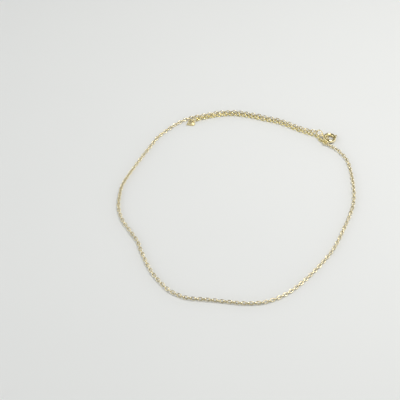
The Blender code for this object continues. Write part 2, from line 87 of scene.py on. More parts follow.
# %% [markdown]
# Almost everything on a bracelet is round wire that someone bent. A wire could be a curve object
# with a bevel, but a curve carries no marks for where it is rubbed bright, or dull and painted darker
# as shade. So each wire is a grid of points here: one row of points round the wire for each step
# along it. The rows are worked out with numpy, and every point also gets two numbers from 0 to 1,
# one for wear and one for painted shade and dullness, that the metal's finish reads later.

# %% Wire as rows of points
def swept_rows(path, ahead, radii, sides, squareness=2.0):
    """Rows of points round a path in the XY plane; a squareness over 2 flattens the wire a little."""
    turns = 2 * pi * (np.arange(sides) + 0.5) / sides
    power = 2 / squareness
    out = np.sign(np.cos(turns)) * np.abs(np.cos(turns)) ** power
    over = np.sign(np.sin(turns)) * np.abs(np.sin(turns)) ** power
    across = np.stack([ahead[:, 1], -ahead[:, 0], np.zeros(len(ahead))], 1)
    rows = path[:, None, :] + across[:, None, :] * (radii[:, None] * out)[:, :, None]
    rows[:, :, 2] += radii[:, None] * over
    return rows


def arc(radius, angles):
    """Points and directions along a circle round the origin."""
    angles = np.asarray(angles)
    flat = np.zeros(len(angles))
    path = np.stack([np.cos(angles), np.sin(angles), flat], 1) * radius
    ahead = np.stack([-np.sin(angles), np.cos(angles), flat], 1)
    return path, ahead


def row_faces(count, sides, closed):
    """Four-sided faces between neighbouring rows, and a cap on each open end."""
    faces = []
    for i in range(count if closed else count - 1):
        for j in range(sides):
            here, there = i * sides, (i + 1) % count * sides
            k = (j + 1) % sides
            faces.append((here + j, there + j, there + k, here + k))
    if not closed:
        faces.append(tuple(range(sides)))
        faces.append(tuple((count - 1) * sides + j for j in reversed(range(sides))))
    return faces


print("three rows of four points make", len(row_faces(3, 4, False)), "faces, caps included")

# %% [markdown]
# A mesh is made from its points and faces in one call, and its marks are stored on its points. Then
# it is settled in the scene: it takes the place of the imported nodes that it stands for, and rides
# on the same body, so that it moves when the clasp is opened.

# %% From rows to a piece
def mark(mesh, name, values):
    """Writes one number for each point of a mesh, for its finish to read."""
    layer = mesh.attributes.new(name, "FLOAT", "POINT")
    layer.data.foreach_set("value", np.asarray(values, np.float32).ravel())


def mesh_from(name, points, faces):
    """A smooth mesh, from a list of points or from rows of them."""
    mesh = bpy.data.meshes.new(name)
    mesh.from_pydata(np.asarray(points).reshape(-1, 3).tolist(), [], faces)
    mesh.shade_smooth()
    return mesh


def points_of(mesh):
    return np.array([vertex.co for vertex in mesh.vertices])


def settle(name, mesh, matrix, body, slot, *nodes):
    """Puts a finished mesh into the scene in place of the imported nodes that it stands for."""
    mesh.name = name
    piece = placed(name, mesh)
    piece.matrix_world = matrix
    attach(piece, body)
    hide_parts(*nodes)
    lowest = min((matrix @ vertex.co).z for vertex in mesh.vertices)
    print(name, len(mesh.polygons), "faces, lowest point at", round(lowest / MM, 3), "mm")


# %% [markdown]
# A jump ring is a single turn of round wire whose two ends meet. To thread links through the rings
# the lesson has to know where each one hangs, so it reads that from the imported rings: a circle
# fitted through their points has its middle at the ring's middle, and the direction in which the
# points spread least is the ring's own axis. A fitted axis may point either way along its line, so
# the second table says roughly where each one should point.

# %% Reading the rings
RING_WIRES = {"clasp_jump_ring": 0.32 * MM, "catch_ring": 0.35 * MM, "charm_jump_ring": 0.30 * MM}
RING_AXES = {
    "clasp_jump_ring": (-0.5, -0.8, 0.3),
    "catch_ring": (-0.9, 0.5, -0.2),
    "charm_jump_ring": (-0.3, 0.9, 0.3),
}


class Ring:
    """A wire ring: its middle, its level direction, its rising one and the axis square to both."""

    def __init__(self, node):
        points = points_of(frame["nodes"][node].data)
        middle = points.mean(0)
        normal = Vector(np.linalg.eigh(np.cov((points - middle).T))[1][:, 0])
        self.normal = normal if normal.dot(Vector(RING_AXES[node])) > 0 else -normal
        self.along = UP.cross(self.normal).normalized()
        self.rise = self.normal.cross(self.along)
        axes = np.array([self.along, self.rise])
        flat = (points - middle) @ axes.T
        fit = np.linalg.lstsq(np.c_[2 * flat, np.ones(len(flat))], (flat**2).sum(1), rcond=None)[0]
        self.centre = Vector(middle + fit[:2] @ axes)
        self.wire = RING_WIRES[node]
        outer = np.linalg.norm(flat - fit[:2], axis=1).max()
        self.radius = outer - self.wire / 2

    def point(self, angle):
        return self.centre + (self.along * cos(angle) + self.rise * sin(angle)) * self.radius

    def tangent(self, angle):
        return self.rise * cos(angle) - self.along * sin(angle)

    def matrix(self):
        axes = Matrix((self.along, self.rise, self.normal)).transposed()
        return Matrix.Translation(self.centre) @ axes.to_4x4()


jump_ring = Ring("clasp_jump_ring")
catch_ring = Ring("catch_ring")
charm_ring = Ring("charm_jump_ring")
for ring in (jump_ring, catch_ring, charm_ring):
    print("ring at", [round(x / MM, 2) for x in ring.centre], "radius", round(ring.radius / MM, 3))

# %% [markdown]
# A chain hangs in soft bends and has no corners, so its route is a smooth curve through a few
# points. A curve object would do, but links are placed by their distance along the route, and that
# is easier to look up in a plain list of close points. The curve leaves each given point along the
# line between its two neighbours. One class serves the main chain and the tail.

# %% A smooth route
CURVE_STEPS = 12


class Route:
    """A smooth curve through a few points, read by the distance along it."""

    def __init__(self, points):
        self.dense = []
        ends = [points[0] * 2 - points[1]] + points + [points[-1] * 2 - points[-2]]
        for before, start, end, after in zip(ends, ends[1:], ends[2:], ends[3:]):
            span = (end - start).length
            leave = (end - before).normalized() * span
            arrive = (after - start).normalized() * span
            for k in range(CURVE_STEPS):
                s = k / CURVE_STEPS
                point = start * (2 * s**3 - 3 * s**2 + 1) + leave * (s**3 - 2 * s**2 + s)
                self.dense.append(point + end * (3 * s**2 - 2 * s**3) + arrive * (s**3 - s**2))
        self.dense.append(points[-1].copy())
        steps = [(b - a).length for a, b in zip(self.dense, self.dense[1:])]
        self.marks = np.concatenate([[0.0], np.cumsum(steps)])
        self.length = self.marks[-1]

    def at(self, distance):
        k = int(np.clip(np.searchsorted(self.marks, distance), 1, len(self.marks) - 1))
        share = (distance - self.marks[k - 1]) / (self.marks[k] - self.marks[k - 1])
        return self.dense[k - 1].lerp(self.dense[k], share)

    def heading(self, distance, reach):
        ahead = self.at(min(distance + reach, self.length))
        behind = self.at(max(distance - reach, 0))
        return (ahead - behind).normalized()


print("a route has", CURVE_STEPS, "straight steps between two of its points")

# %% [markdown]
# The loop lies as it was dropped, so no formula gives its outline. Its points are a short list,
# the same as the imported model's: from the clasp along the back, down the left side, round the
# front and up the right side to the catch ring. The tail has points of its own only where it bends
# round the clasp and where it ends.

# %% The loop's points
CHAIN_ROUTE = [
    (28.6, 31.0), (24.8, 33.0), (22.0, 34.4), (18.6, 36.3), (15.2, 37.8), (11.6, 38.8), (8.3, 39.9),
    (4.8, 40.8), (1.3, 41.5), (-2.3, 41.6), (-6.0, 41.2), (-9.5, 40.3), (-13.2, 39.4), (-15.7, 38.7),
    (-17.9, 37.7), (-21.0, 35.5), (-24.2, 32.6), (-27.3, 29.2), (-29.6, 25.3), (-34.2, 16.9),
    (-38.7, 7.5), (-39.6, 2.4), (-39.7, -2.8), (-38.3, -8.0), (-35.4, -13.0), (-32.9, -17.1),
    (-31.5, -21.2), (-28.0, -29.2), (-23.1, -35.7), (-19.9, -38.0), (-16.5, -39.4), (-9.9, -40.1),
    (-3.7, -40.9), (2.5, -41.5), (8.8, -40.7), (14.9, -37.7), (20.2, -33.1), (25.6, -27.2),
    (30.7, -20.4), (34.6, -12.6), (38.4, -3.3), (39.5, 2.0), (39.7, 7.3), (39.4, 13.2),
    (38.4, 18.7), (35.9, 22.7),
]
TAIL_START = [(30.2, 27.6), (29.0, 29.6)]
# The tail's free end, in millimetres: how much of it is left, and how far in from the main chain it is
TAIL_END = [(8.1, 1.2), (5.3, 1.4), (3.0, 2.0)]
loop = Route([Vector((x, y, 0)) * MM for x, y in CHAIN_ROUTE])
spread = np.array(loop.dense)
CENTRE = Vector((spread.min(0) + spread.max(0)) / 2)


def on_surface(x, y, height):
    """A point of the list, moved so that the loop's middle is the origin."""
    return Vector((x * MM, y * MM, height)) - CENTRE


print("the loop is", round(loop.length / MM, 1), "mm along the chain")

# %% [markdown]
# The chain is a cable chain: every link is the same small oval, square to its neighbours and
# soldered shut on one side. Its wire is slightly flattened from being drawn and tumbled. One oval
# is modelled with care and then repeated. An Array modifier could repeat it along a curve, but each
# link here also needs its own roll and its own wear, so numpy repeats it.

# %% One link
PITCH = 1.14 * MM
LINK_WIRE = 0.29 * MM
LINK_WIDTH = 1.20 * MM
LINK_SLACK = 0.012 * MM
LINK_LENGTH = PITCH + 2 * LINK_WIRE - LINK_SLACK
LINK_BEND = (LINK_WIDTH - LINK_WIRE) / 2
LINK_HALF = (LINK_LENGTH - LINK_WIRE) / 2 - LINK_BEND
LINK_SIDES = 10
END_STEPS = 11
STRAIGHT_STEPS = 3
LINK_SQUARENESS = 2.5
LINK_SOLDER_REACH = 0.16 * MM
LINK_SOLDER_SWELL = 0.10


def link_path():
    """Points and directions along the middle of a link's wire: each round end, then a straight side."""
    path = []
    ahead = []
    for end in (1, -1):
        for turn in np.linspace(-pi / 2, pi / 2, END_STEPS):
            path.append((end * (LINK_HALF + LINK_BEND * cos(turn)), end * LINK_BEND * sin(turn), 0))
            ahead.append((-end * sin(turn), end * cos(turn), 0))
        for k in range(1, STRAIGHT_STEPS):
            path.append((end * LINK_HALF * (1 - 2 * k / STRAIGHT_STEPS), end * LINK_BEND, 0))
            ahead.append((-end, 0, 0))
    return np.array(path), np.array(ahead)


link_middle, link_ahead = link_path()
# From 0 to 1, how near the wire is to its solder, in the middle of the left straight side
link_solder = np.exp(-((link_middle[:, 0] / LINK_SOLDER_REACH) ** 2)) * (link_middle[:, 1] > 0)
link_radii = LINK_WIRE / 2 * (1 + LINK_SOLDER_SWELL * link_solder)
link_rows = swept_rows(link_middle, link_ahead, link_radii, LINK_SIDES, LINK_SQUARENESS)
print("one link has", len(link_rows) * LINK_SIDES * 2, "triangles")

# %% [markdown]
# Links rub on each other inside their round ends and shade each other there, so a chain is painted
# darker there as painted shade. Its outer rim and the faces that stand proud are rubbed bright. The
# marks could be painted by hand, but for so many links a rule is shorter. It asks how far inside the
# oval a point lies, how near it is to the link's end, and how far it stands out of the link's own plane.

# %% Wear and painted shade on a link
OVALNESS = 0.72
INSIDE_FADE = 1.8
# Painted shade: a share of it inside the oval on the straight sides, and across the whole wire at the
# round ends
SIDE_SHADE = 0.45
END_SHADE = 0.7
LINK_SOLDER_DULLNESS = 0.35
PROUD_WEAR = 0.75
RIM_START, RIM_FADE = 1.6, 6
RIM_WEAR = 0.8


def link_marks():
    """How worn each point of a link is, and how dull and painted darker as shade."""
    inward = 1 - np.hypot(link_rows[:, :, 0] * OVALNESS, link_rows[:, :, 1]) / (LINK_WIDTH / 2)
    ends = np.clip((np.abs(link_middle[:, 0]) - LINK_HALF) / LINK_BEND, 0, 1)[:, None]
    # Painted shade on the inside of the oval, stronger towards the round ends
    dull = np.clip(inward * INSIDE_FADE, 0, 1) * (SIDE_SHADE + (1 - SIDE_SHADE) * ends)
    dull = dull + LINK_SOLDER_DULLNESS * link_solder[:, None]
    # Painted shade across the whole wire at the round ends, where the next link shades it
    dull = np.clip(np.maximum(dull, END_SHADE * ends), 0, 1)
    proud = np.clip(np.abs(link_rows[:, :, 2]) / (LINK_WIRE / 2), 0, 1) ** 3
    rim = np.clip(RIM_START - inward * RIM_FADE, 0, 1) * RIM_WEAR
    worn = np.maximum(proud * PROUD_WEAR, rim) * (1 - END_SHADE * ends)
    return worn, dull


link_worn, link_shade_and_dull = link_marks()
print("mean wear", round(float(link_worn.mean()), 2), "mean dullness", round(float(link_shade_and_dull.mean()), 2))

# %% [markdown]
# A link's place is its middle, the way the chain runs there and its roll about that way. A chain
# whose links are by turns flat and upright stands highest. It tends to roll over until it rests on
# two of its four sides, and lies lowest at a roll of 45 degrees. So the height follows from the
# roll, and no link sinks into the surface.

# %% Placing the links
FREE_ROLL = radians(38)


def link_axes(heading, roll):
    """A link's own axes: X along the chain, Z square to the link's plane, rolled about X."""
    across = UP.cross(heading).normalized()
    square = heading.cross(across)
    rolled_across = across * cos(roll) + square * sin(roll)
    rolled_square = square * cos(roll) - across * sin(roll)
    return Matrix((heading, rolled_across, rolled_square)).transposed()


def link_place(centre, heading, roll):
    return Matrix.Translation(centre) @ link_axes(heading, roll).to_4x4()


def lying_height(roll):
    """How high the chain's middle is when its links, alternately square to each other, lie down."""
    widest = max(abs(sin(roll)), abs(cos(roll)))
    return (LINK_WIDTH - LINK_WIRE) / 2 * widest + LINK_WIRE / 2


def resting_height(roll, held, free):
    """A free link lies on the surface, and one near a ring may be held higher."""
    lying = lying_height(roll)
    return lying if free else max(held, lying)


def ring_roll(heading, wire_direction):
    """The roll that sets a link square to the wire that it hangs on."""
    square = link_axes(heading, 0).inverted() @ wire_direction
    return atan2(-square.y, square.z)


def nearest_roll(roll, wanted):
    """The same roll, less or more half turns, closest to the wanted one."""
    return roll - pi * round((roll - wanted) / pi)


print("the chain's middle lies", round(lying_height(FREE_ROLL) / MM, 2), "mm high where it is free")

# %% [markdown]
# All the links of a chain go into one mesh, because it is one piece. No two links are rubbed alike,
# so each gets a little more or less wear, and of painted shade and dullness, from a seeded random
# number, and the lesson gives the same chain each time.

# %% A chain as one mesh
# Random scales for each link's wear, and for its painted shade and dullness
WEAR_RANGE = (0.55, 1.0)
SHADE_AND_DULL_RANGE = (0.7, 1.3)


def chain_mesh(name, places, seed):
    """All the links of a chain in one mesh; one that would sink into the surface is lifted onto it."""
    random = np.random.default_rng(seed)
    points = link_rows.reshape(-1, 3)
    faces = np.array(row_faces(len(link_rows), LINK_SIDES, True))
    turned = []
    worn = []
    dull = []
    for place in places:
        turn = np.array(place)
        link = points @ turn[:3, :3].T + turn[:3, 3]
        link[:, 2] -= min(link[:, 2].min(), 0)
        turned.append(link)
        worn.append(link_worn.ravel() * random.uniform(*WEAR_RANGE))
        dull.append(np.clip(link_shade_and_dull.ravel() * random.uniform(*SHADE_AND_DULL_RANGE), 0, 1))
    shift = (np.arange(len(places)) * len(points))[:, None, None]
    all_faces = (faces[None] + shift).reshape(-1, 4).tolist()
    mesh = mesh_from(name, np.concatenate(turned), all_faces)
    mark(mesh, "worn", np.concatenate(worn))
    mark(mesh, "dull", np.concatenate(dull))
    return mesh


print("a link's wear is multiplied by", WEAR_RANGE, "and its dust by", SHADE_AND_DULL_RANGE)

# %% [markdown]
# The first link of the main chain goes round the jump ring and the last one round the catch ring,
# so the route starts and ends at the middles of those two links. Before the last one it climbs
# through one point that lies half way up, so that the chain doesn't bend sharply at the ring.

# %% The main chain's route
RING_GAP = 0.06 * MM
CATCH_TO_CHAIN = radians(-34)


def hung_link(ring, angle, away):
    """The middle of a link whose end goes round a ring's wire."""
    grip = ring.wire / 2 + LINK_WIRE / 2 + RING_GAP
    return ring.point(angle) + away * ((LINK_LENGTH - LINK_WIRE) / 2 - grip)


def main_route():
    first = hung_link(jump_ring, pi, -jump_ring.along)
    catch_away = -catch_ring.normal
    last = hung_link(catch_ring, CATCH_TO_CHAIN, catch_away)
    free = lying_height(FREE_ROLL)
    lead = last + catch_away * LINK_WIDTH
    lead.z = (last.z + free) / 2
    middle = [on_surface(x, y, free) for x, y in CHAIN_ROUTE[1:]]
    return Route([first] + middle + [lead, last])


main_path = main_route()
print("the main chain runs", round(main_path.length / MM, 1), "mm from ring to ring")

# %% [markdown]
# Near a ring a link is square to the ring's wire, and over a few links the chain turns from there
# to the roll that it has where it is free. That roll drifts slowly. Round the near half the chain
# lies almost squarely, its links by turns flat and upright, and beside the tail it has rolled
# nearly to 45 degrees, so the two strands look closed where the near half shows its open links.

# %% The main chain's links
NEAR_ROLL = radians(20)
NEAR_EDGE, NEAR_BLEND = 14, 12  # millimetres along Y
ROLL_DRIFT = radians(9)
LONG_DRIFT, SHORT_DRIFT = 9.1 * MM, 3.7 * MM
SHORT_SHARE, SHORT_PHASE = 0.6, 1.3
NEAR_CALM = 0.6
ROLL_JITTER = radians(5)
TURN_LINKS = 6
ROLL_SEED, MAIN_SEED, TAIL_SEED = 7, 11, 23


def free_of_rings(k, last):
    """Two shares for a link, from 0 at each end of its chain to 1 where it is free of the ring there."""
    return min(k / TURN_LINKS, 1), min((last - k) / TURN_LINKS, 1)


def free_roll(point, distance):
    """The roll of the chain where it lies free: most beside the tail and least round the near half."""
    near = np.clip((NEAR_EDGE - point.y / MM) / NEAR_BLEND, 0, 1)
    short = SHORT_SHARE * sin(distance / SHORT_DRIFT + SHORT_PHASE)
    drift = ROLL_DRIFT * (sin(distance / LONG_DRIFT) + short)
    return FREE_ROLL * (1 - near) + NEAR_ROLL * near + drift * (1 - NEAR_CALM * near)


def main_chain_places(route):
    """The place of each link, from the jump ring round the loop to the catch ring."""
    count = round(route.length / PITCH)
    random = np.random.default_rng(ROLL_SEED)
    start_roll = ring_roll(route.heading(0, PITCH / 2), jump_ring.tangent(pi))
    end_heading = route.heading(route.length, PITCH / 2)
    end_roll = ring_roll(end_heading, catch_ring.tangent(CATCH_TO_CHAIN)) - pi / 2 * (count % 2)
    places = []
    for k in range(count + 1):
        distance = route.length * k / count
        centre = route.at(distance)
        wanted = free_roll(centre, distance) + ROLL_JITTER * random.uniform(-1, 1)
        from_start, from_end = free_of_rings(k, count)
        roll = wanted * from_start * from_end
        roll += nearest_roll(start_roll, wanted) * (1 - from_start)
        roll += nearest_roll(end_roll, wanted) * (1 - from_end)
        centre.z = resting_height(roll, centre.z, from_start * from_end == 1)
        heading = route.heading(distance, PITCH / 2)
        places.append(link_place(centre, heading, roll + pi / 2 * (k % 2)))
    return places


main_places = main_chain_places(main_path)
main_mesh = chain_mesh("chain_links", main_places, MAIN_SEED)
settle("chain_links", main_mesh, Matrix(), "bracelet", "chain_gold", "main_chain")
print("the main chain has", len(main_places), "links")

# %% [markdown]
# The spare length is the same chain. Its first link hangs on the catch ring, the chain then bends
# round the clasp, lies against the main chain and ends at the charm's ring. So most of its route
# isn't a list of points: it is the main chain's own route, moved inwards by one link's width.

# %% The extender chain's route
CATCH_TO_TAIL = radians(-8)
TAIL_TURN = radians(-24)
TAIL_LENGTH = 49.5 * MM
TAIL_MEETS = 3.2 * MM
TAIL_PARTS = 14.0 * MM
BESIDE_STEP = 4.2 * MM
STRAND_GAP = 0.04 * MM


def beside(distance, inward, height):
    """A point inside the loop, beside the main chain."""
    offset = UP.cross(loop.heading(distance, LINK_LENGTH)) * inward
    at = loop.at(distance) - CENTRE + offset
    return Vector((at.x, at.y, height))


def tail_route():
    """It meets the main chain soon after the clasp, and parts from it again before the heart."""
    away = Matrix.Rotation(TAIL_TURN, 3, catch_ring.tangent(CATCH_TO_TAIL)) @ catch_ring.normal
    start = hung_link(catch_ring, CATCH_TO_TAIL, away)
    height = lying_height(FREE_ROLL)
    lead = start + away * PITCH
    lead.z = (start.z + height) / 2
    points = [start, lead] + [on_surface(x, y, height) for x, y in TAIL_START]
    run = TAIL_LENGTH - TAIL_PARTS - TAIL_MEETS
    count = round(run / BESIDE_STEP)
    for k in range(count + 1):
        points.append(beside(TAIL_MEETS + run * k / count, LINK_WIDTH + STRAND_GAP, height))
    for left, inward in TAIL_END:
        points.append(beside(TAIL_LENGTH - left * MM, inward * MM, height))
    return Route(points)


tail_path = tail_route()
print("the tail's route is", round(tail_path.length / MM, 1), "mm long")

# %% [markdown]
# The tail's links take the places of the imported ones, where they are fused into one solid. Here
# each is free. They are counted from the heart's end, because the last one has to lie as the
# charm's ring needs it.

# %% The extender chain's links
def tail_places(route):
    """The place of each link, from the catch ring to the charm's ring."""
    last = int(TAIL_LENGTH / PITCH)
    start_roll = ring_roll(route.heading(0, PITCH / 2), catch_ring.tangent(CATCH_TO_TAIL))
    start_roll = nearest_roll(start_roll - pi / 2 * (last % 2), FREE_ROLL)
    places = []
    for k in range(last + 1):
        from_start, from_end = free_of_rings(k, last)
        roll = start_roll * (1 - from_start) + FREE_ROLL * (from_start + from_end - 1)
        centre = route.at(k * PITCH)
        centre.z = resting_height(roll, centre.z, from_start == 1)
        heading = route.heading(k * PITCH, PITCH / 2)
        places.append(link_place(centre, heading, roll + pi / 2 * ((last - k) % 2)))
    return places


tail_mesh = chain_mesh("extender_links", tail_places(tail_path), TAIL_SEED)
settle("extender_links", tail_mesh, Matrix(), "bracelet", "chain_gold", "extender_chain")

# %% [markdown]
# A jump ring shows where it was opened: a hairline cut across the wire, with the two ends a touch
# out of line because pliers never close one perfectly. The wire is swept almost all the way round,
# and its last rows draw in a little so that the cut has soft edges and catches the light.

# %% Jump rings
RING_STEPS = 96
RING_SIDES = 20
RING_CUT = 0.06 * MM
CUT_BEVEL = 0.03 * MM
CUT_OFFSET = 0.02 * MM
CUT_DULL_REACH = 0.12 * MM
# The middle point of a rounded edge lies in from the corner by about this share of its radius
ROUND_SHARE = 0.3


def ring_mesh(name, ring):
    half_cut = RING_CUT / 2 / ring.radius
    bevel = CUT_BEVEL / ring.radius
    top = pi / 2
    start, end = top + half_cut, top + 2 * pi - half_cut
    body = np.linspace(start + bevel, end - bevel, RING_STEPS)
    first_edge = [start, start + bevel * ROUND_SHARE]
    last_edge = [end - bevel * ROUND_SHARE, end]
    angles = np.concatenate([first_edge, body, last_edge])
    radii = np.full(len(angles), ring.wire / 2)
    radii[[0, -1]] -= CUT_BEVEL
    radii[[1, -2]] -= CUT_BEVEL * ROUND_SHARE
    path, ahead = arc(ring.radius, angles)
    path[:, 2] = np.linspace(-CUT_OFFSET, CUT_OFFSET, len(path)) / 2
    rows = swept_rows(path, ahead, radii, RING_SIDES)
    from_cut = np.minimum(angles - start, end - angles) * ring.radius
    out = np.hypot(rows[:, :, 0], rows[:, :, 1])
    worn = np.clip((ring.radius - out) / (ring.wire / 2), 0, 1) ** 2
    dull = np.exp(-from_cut / CUT_DULL_REACH)[:, None] * np.ones(RING_SIDES)
    mesh = mesh_from(name, rows, row_faces(len(rows), RING_SIDES, False))
    mark(mesh, "worn", worn)
    mark(mesh, "dull", dull)
    return mesh


for name, node, ring in (
    ("jump_ring_wire", "clasp_jump_ring", jump_ring),
    ("catch_ring_wire", "catch_ring", catch_ring),
    ("charm_ring_wire", "charm_jump_ring", charm_ring),
):
    settle(name, ring_mesh(name, ring), ring.matrix(), "bracelet", "polished_gold", node)

# %% [markdown]
# The clasp is a spring ring: a thin tube bent into a C, with a curved bolt inside that bridges the
# gap and is pushed back by a small knob. The tube is one sweep that runs from the bottom of the
# bore out to the gate, turns over the rounded lip, goes round the outside to the other lip and
# into the short bore there. So the hollow and its lips need no Boolean.

# %% The clasp's case
CLASP_DIAMETER = 4.8 * MM
CLASP_TUBE = 1.1 * MM
CLASP_WALL = 0.17 * MM
CLASP_HEADING = radians(-29)
CLASP_RADIUS = (CLASP_DIAMETER - CLASP_TUBE) / 2
GATE_START, GATE_END = radians(-4), radians(38)
BORE_END, NOSE_END = radians(172), radians(-18)
LIP = 0.07 * MM
LIP_EASE = 0.4
CASE_STEP = radians(2.5)
CASE_SIDES = 28

bolt_joint = frame["joints"][0]
clasp_axis = Vector(bolt_joint["axis"])
clasp_ahead = Vector((cos(CLASP_HEADING), sin(CLASP_HEADING), 0))
clasp_axes = Matrix((clasp_ahead, clasp_axis.cross(clasp_ahead), clasp_axis)).transposed()
clasp_place = Matrix.Translation(Vector(bolt_joint["pos_m"])) @ clasp_axes.to_4x4()


def steps_between(start, end, step):
    return np.linspace(start, end, ceil(abs(end - start) / step) + 1)


def bent_tube(name, line, sides):
    """A tube bent round the clasp, from pairs of an angle and the tube's radius there."""
    angles, radii = np.array(line).T
    path, ahead = arc(CLASP_RADIUS, angles)
    rows = swept_rows(path, ahead, radii, sides)
    return mesh_from(name, rows, row_faces(len(rows), sides, False))


def lip(edge, turn, bore, outer):
    """Over a rounded lip, from the bore to the outside, at one edge of the gate."""
    eased = [(edge, bore + LIP * LIP_EASE), (edge, outer - LIP)]
    return eased + [(edge + turn * ROUND_SHARE, outer - LIP * ROUND_SHARE)]


def case_mesh():
    """The C-shaped case, swept from the bottom of its long bore round to that of the short one."""
    outer, bore = CLASP_TUBE / 2, CLASP_TUBE / 2 - CLASP_WALL
    turn = LIP / CLASP_RADIUS
    far_gate, nose = GATE_START + 2 * pi, NOSE_END + 2 * pi
    line = [(BORE_END, bore / 2)]
    line += [(angle, bore) for angle in steps_between(BORE_END, GATE_END + turn, CASE_STEP)]
    line += lip(GATE_END, turn, bore, outer)
    line += [(angle, outer) for angle in steps_between(GATE_END + turn, far_gate - turn, CASE_STEP)]
    line += lip(far_gate, -turn, bore, outer)[::-1]
    line += [(angle, bore) for angle in steps_between(far_gate - turn, nose, CASE_STEP)]
    line += [(nose, bore / 2)]
    return bent_tube("case", line, CASE_SIDES)


case = case_mesh()
print("the case is one closed sweep of", len(case.polygons), "faces")

# %% [markdown]
# The loop that the jump ring holds is a separate ring of wire, soldered to the case with a small
# bead where they meet. Shapes that run into each other at odd angles are hard to sweep as one, so
# they are joined by a Boolean, with the Exact solver, which copes with round wire. The slot that
# the knob runs in is cut in the same way, with a flat bar that is bent round the clasp.

# %% Tools for joining and cutting
LOOP_STEPS = 48
LOOP_SIDES = 16
BEAD_SUBDIVISIONS = 3
SHARP = radians(32)


def shade(mesh):
    """Smooth, apart from the edges that are sharper than any curve of the piece."""
    mesh.shade_smooth()
    mesh.set_sharp_from_angle(angle=SHARP)


def combined(mesh, other, operation):
    """One mesh joined to another, or cut by it, with the Exact solver."""
    pair = [placed("part", mesh), placed("other", other)]
    modifier = pair[0].modifiers.new("boolean", "BOOLEAN")
    modifier.operation = operation
    modifier.solver = "EXACT"
    modifier.object = pair[1]
    bpy.context.view_layer.update()
    evaluated = pair[0].evaluated_get(bpy.context.evaluated_depsgraph_get())
    result = bpy.data.meshes.new_from_object(evaluated)
    for thing in pair:
        bpy.data.objects.remove(thing)
    return result


def wire_loop(diameter, wire, centre):
    """A closed ring of round wire in the XY plane."""
    path, ahead = arc((diameter - wire) / 2, np.arange(LOOP_STEPS) * 2 * pi / LOOP_STEPS)
    rows = swept_rows(path, ahead, np.full(LOOP_STEPS, wire / 2), LOOP_SIDES) + np.array(centre)
    return mesh_from("loop", rows, row_faces(LOOP_STEPS, LOOP_SIDES, True))


def solder_bead(centre, size):
    """A small rounded bead, wide across the joint and thin along it."""
    shape = bmesh.new()
    bmesh.ops.create_icosphere(shape, subdivisions=BEAD_SUBDIVISIONS, radius=1)
    for vertex in shape.verts:
        vertex.co = Vector([c + v * s for c, v, s in zip(centre, vertex.co, size)])
    bead = bpy.data.meshes.new("bead")
    shape.to_mesh(bead)
    shape.free()
    return bead


print("beads and loops are ready, with", LOOP_SIDES, "sides to a loop's wire")

# %% [markdown]
# The slot is as long as the way that the bolt slides, and a little wider than the knob's stem. The
# bar that cuts it narrows at both ends along a half round, so the slot's ends are round as well.

# %% The clasp's loop and slot
KNOB_ANGLE = radians(58)
KNOB_STEM = 0.36 * MM
KNOB_GAP = 0.08 * MM
BOLT_TRAVEL = radians(48)
SLOT_STEPS = 41
SLOT_END_SHARE = 0.1
LOOP_DIAMETER, LOOP_WIRE = 1.55 * MM, 0.32 * MM
SOLDER_DEPTH = 0.10 * MM
CASE_BEAD_OUT = 0.03 * MM
CASE_BEAD = (0.13 * MM, 0.34 * MM, 0.21 * MM)


def slot_bar():
    """A bar with rounded ends, bent round the clasp through the outer side of its tube."""
    half = KNOB_STEM / 2 + KNOB_GAP
    reach = half / (CLASP_DIAMETER / 2)
    share = np.linspace(0, 1, SLOT_STEPS)
    angles = KNOB_ANGLE - reach + share * (BOLT_TRAVEL + 2 * reach)
    from_end = np.minimum(angles - angles[0], angles[-1] - angles) / reach
    rounded = np.sqrt(1 - (1 - np.clip(from_end, 0, 1)) ** 2)
    heights = half * np.maximum(rounded, SLOT_END_SHARE)
    corners = []
    for angle, height in zip(angles, heights):
        for reach_out, side in ((0, -1), (1, -1), (1, 1), (0, 1)):
            radius = CLASP_RADIUS + reach_out * CLASP_TUBE
            corners.append((cos(angle) * radius, sin(angle) * radius, side * height))
    return mesh_from("slot", corners, row_faces(len(angles), 4, False))


loop_middle = Vector((-(CLASP_DIAMETER + LOOP_DIAMETER) / 2 + SOLDER_DEPTH, 0, 0))
case_solder_at = Vector((-CLASP_DIAMETER / 2 - CASE_BEAD_OUT, 0, 0))
case = combined(case, wire_loop(LOOP_DIAMETER, LOOP_WIRE, loop_middle), "UNION")
case = combined(case, solder_bead(case_solder_at, CASE_BEAD), "UNION")
case = combined(case, slot_bar(), "DIFFERENCE")
shade(case)
print("with its loop, bead and slot the case has", len(case.polygons), "faces")

# %% [markdown]
# A clasp is handled each time it is worn. Fingers rub its outer rim bright. The bore and the slot's
# walls near it are painted darker as shade inside the tube, and the corner round the solder stays dull.

# %% Wear and painted shade on the clasp's case
SOLDER_DULLNESS = 0.8
CASE_SOLDER_REACH = 0.42 * MM
BORE_FADE = 0.8


def solder_dullness(points, solder_at, reach):
    """Dullness that fades with the distance from a soldered joint."""
    distance = np.linalg.norm(points - np.array(solder_at), axis=1)
    return SOLDER_DULLNESS * np.exp(-((distance / reach) ** 2))


def mark_case(mesh):
    points = points_of(mesh)
    round_clasp = np.hypot(points[:, 0], points[:, 1])
    from_tube = np.hypot(round_clasp - CLASP_RADIUS, points[:, 2])
    above_bore = from_tube - CLASP_TUBE / 2 + CLASP_WALL
    # Painted shade on the bore's surface, and on the slot's walls where they meet it
    painted_bore_shade = np.clip(1 - above_bore / (CLASP_WALL * BORE_FADE), 0, 1) * (from_tube < CLASP_TUBE)
    soldered = solder_dullness(points, case_solder_at, CASE_SOLDER_REACH)
    mark(mesh, "dull", np.maximum(painted_bore_shade, soldered))
    mark(mesh, "worn", np.clip((round_clasp - CLASP_RADIUS) / (CLASP_TUBE / 2), 0, 1) ** 2)


